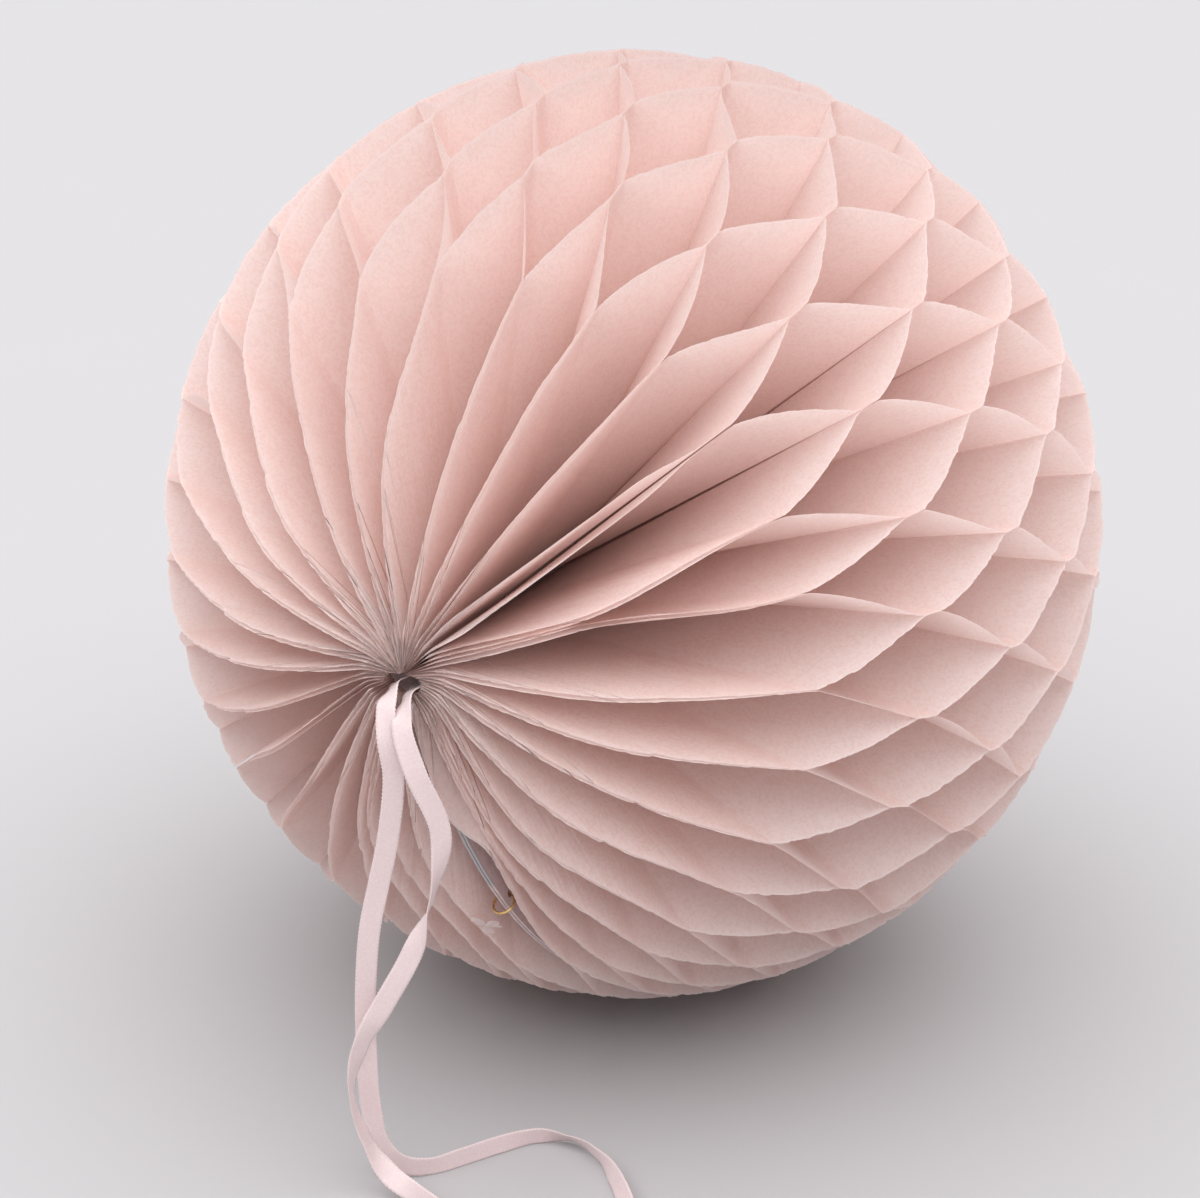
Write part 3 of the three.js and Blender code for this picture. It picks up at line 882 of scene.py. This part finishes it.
class Finishes(bpy.types.PropertyGroup):
    """The colours of the ball, its fittings and the floor"""

    tissue: colour_property("Tissue", (0.965, 0.84, 0.81))
    tissue_deep: colour_property("Tissue fibres", (0.89, 0.715, 0.67))
    # Pale pulp mottling, and the painted highlight along the leaves' rims and over the torn scrap
    tissue_pale_and_rim_highlight: colour_property("Tissue highlights", (0.985, 0.91, 0.89))
    tissue_through: colour_property("Tissue glow", (0.98, 0.83, 0.79))
    card: colour_property("Card face", (0.72, 0.585, 0.58))
    board: colour_property("Card edge", (0.49, 0.455, 0.46))
    brass: colour_property("Brass", (0.86, 0.60, 0.27))
    thread: colour_property("Thread", (0.82, 0.76, 0.70))
    satin: colour_property("Satin", (0.86, 0.69, 0.685))
    satin_edge: colour_property("Satin edge", (0.92, 0.79, 0.785))
    floor: colour_property("Floor", (0.505, 0.493, 0.501))


def materials(scene):
    """The materials, made once and shared."""
    found = {material.name: material for material in bpy.data.materials}
    makers = {
        "tissue_leaf": tissue_material, "card_board": card_material, "brass_wire": brass_material,
        "cotton_thread": thread_material, "satin_band": satin_material, "pale_floor": floor_material,
    }
    return {name: found.get(name) or make(scene.ball_finishes) for name, make in makers.items()}


class BALL_OT_camera(bpy.types.Operator):
    """Set the camera at the angle of the reference view"""

    bl_idname = "paper_ball.camera"
    bl_label = "Camera"

    def execute(self, context):
        data = bpy.data.cameras.new("camera")
        data.lens = CAMERA_LENS
        data.sensor_width = SENSOR_WIDTH
        camera = bpy.data.objects.new("camera", data)
        camera.location = CAMERA_PLACE
        camera.rotation_euler = (CAMERA_TILT, 0, CAMERA_TURN)
        context.scene.collection.objects.link(camera)
        context.scene.camera = camera
        return {"FINISHED"}


class BALL_OT_ribbon(bpy.types.Operator):
    """Lay the satin ribbon along its route"""

    bl_idname = "paper_ball.ribbon"
    bl_label = "Ribbon"

    def execute(self, context):
        make_ribbon(context.scene.ribbon_sizes, materials(context.scene)["satin_band"])
        return {"FINISHED"}


class BALL_OT_leaves(bpy.types.Operator):
    """Fan out the glued tissue leaves"""

    bl_idname = "paper_ball.leaves"
    bl_label = "Leaves"

    def execute(self, context):
        sizes = context.scene.leaf_sizes
        fan = Fan(sizes)
        tissue = materials(context.scene)["tissue_leaf"]
        for first in range(0, LEAVES, sizes.leaves_each):
            mesh = bmesh.new()
            for leaf in range(first, min(first + sizes.leaves_each, LEAVES)):
                shape_leaf(mesh, fan, leaf, sizes)
            name = f"leaves_{first + 1:02d}_to_{first + sizes.leaves_each:02d}"
            finished(name, mesh, tissue, "tissue", "honeycomb")
        make_torn_scrap(sizes, tissue)
        return {"FINISHED"}


class BALL_OT_spine(bpy.types.Operator):
    """Line the spine's hole, where all the leaves are bound"""

    bl_idname = "paper_ball.spine"
    bl_label = "Spine"

    def execute(self, context):
        mesh = bmesh.new()
        reach = BALL_RADIUS - LINING_SHORT
        circle = bmesh.ops.create_circle(mesh, segments=72, radius=SPINE_BORE + 0.15 * MM)
        start = Matrix.Translation(BALL_CENTRE + Vector((0, -reach, 0)))
        bmesh.ops.transform(mesh, matrix=start @ Matrix.Rotation(math.pi / 2, 4, "X"), verts=circle["verts"])
        for _ in range(LINING_STEPS):
            edges = [edge for edge in mesh.edges if edge.is_wire or edge.is_boundary]
            newest = max(edge.verts[0].co.y for edge in edges)
            ring = [edge for edge in edges if edge.verts[0].co.y > newest - 0.1 * MM]
            made = bmesh.ops.extrude_edge_only(mesh, edges=ring)["geom"]
            verts = [item for item in made if isinstance(item, bmesh.types.BMVert)]
            bmesh.ops.translate(mesh, verts=verts, vec=Vector((0, 2 * reach / LINING_STEPS, 0)))
        bmesh.ops.recalc_face_normals(mesh, faces=mesh.faces[:])
        piece = finished("spine_lining", mesh, materials(context.scene)["card_board"], "tissue")
        thicken(piece, LINING_WALL)
        return {"FINISHED"}


class BALL_OT_fittings(bpy.types.Operator):
    """Make the two wire rings, and finish the cards and the thread"""

    bl_idname = "paper_ball.fittings"
    bl_label = "Cards, rings and thread"

    def execute(self, context):
        found = materials(context.scene)
        sizes = context.scene.ring_sizes
        make_ring("ring_front", 1, sizes, found["brass_wire"], "closing_ring_front")
        make_ring("ring_back", -1, sizes, found["brass_wire"], "closing_ring_back")
        for node in ("cover_card_left", "cover_card_right"):
            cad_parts[node].material_slots[0].material = found["card_board"]
        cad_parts["spine_thread"].material_slots[0].material = found["cotton_thread"]
        return {"FINISHED"}


class BALL_OT_stage(bpy.types.Operator):
    """Set the pale floor and the soft studio lights"""

    bl_idname = "paper_ball.stage"
    bl_label = "Stage"

    def execute(self, context):
        mesh = bmesh.new()
        bmesh.ops.create_grid(mesh, x_segments=1, y_segments=1, size=FLOOR_HALF)
        data = bpy.data.meshes.new("floor")
        mesh.to_mesh(data)
        mesh.free()
        data.materials.append(materials(context.scene)["pale_floor"])
        floor = bpy.data.objects.new("floor", data)
        context.scene.collection.objects.link(floor)
        for name, place_at, spread, power in LIGHTS:
            lamp = bpy.data.lights.new(name, "SUN")
            lamp.angle = math.radians(spread)
            lamp.energy = power
            holder = bpy.data.objects.new(name, lamp)
            holder.location = place_at
            holder.rotation_euler = (-Vector(place_at)).to_track_quat("-Z", "Y").to_euler()
            context.scene.collection.objects.link(holder)
        world = bpy.data.worlds.new("studio")
        world.use_nodes = True
        background = world.node_tree.nodes["Background"]
        background.inputs["Color"].default_value = WORLD_COLOUR
        background.inputs["Strength"].default_value = WORLD_LIGHT
        context.scene.world = world
        context.scene.view_settings.view_transform = "Standard"
        return {"FINISHED"}


class BALL_PT_panel(bpy.types.Panel):
    """Lists the ball's pieces"""

    bl_idname = "BALL_PT_panel"
    bl_label = "Paper Ball"
    bl_space_type = "VIEW_3D"
    bl_region_type = "UI"
    bl_category = "Paper Ball"

    def draw(self, context):
        for group in ("leaf_sizes", "ribbon_sizes", "ring_sizes", "ball_finishes"):
            box = self.layout.box()
            settings = getattr(context.scene, group)
            for key in settings.__annotations__:
                box.prop(settings, key)
        for operator in OPERATORS:
            self.layout.operator(operator.bl_idname)


OPERATORS = (BALL_OT_camera, BALL_OT_ribbon, BALL_OT_leaves, BALL_OT_spine, BALL_OT_fittings, BALL_OT_stage)
GROUPS = {
    "leaf_sizes": LeafSizes, "ribbon_sizes": RibbonSizes, "ring_sizes": RingSizes, "ball_finishes": Finishes,
}


def register():
    """Adds the settings, the operators and the panel to Blender."""
    for name, group in GROUPS.items():
        bpy.utils.register_class(group)
        setattr(bpy.types.Scene, name, PointerProperty(type=group))
    for kind in (*OPERATORS, BALL_PT_panel):
        bpy.utils.register_class(kind)


def unregister():
    """Takes them away again."""
    for kind in (BALL_PT_panel, *reversed(OPERATORS)):
        bpy.utils.unregister_class(kind)
    for name, group in GROUPS.items():
        delattr(bpy.types.Scene, name)
        bpy.utils.unregister_class(group)


def main():
    register()
    bpy.ops.paper_ball.camera()
    bpy.ops.paper_ball.ribbon()
    bpy.ops.paper_ball.leaves()
    bpy.ops.paper_ball.spine()
    bpy.ops.paper_ball.fittings()
    bpy.ops.paper_ball.stage()


if __name__ == "__main__":
    main()
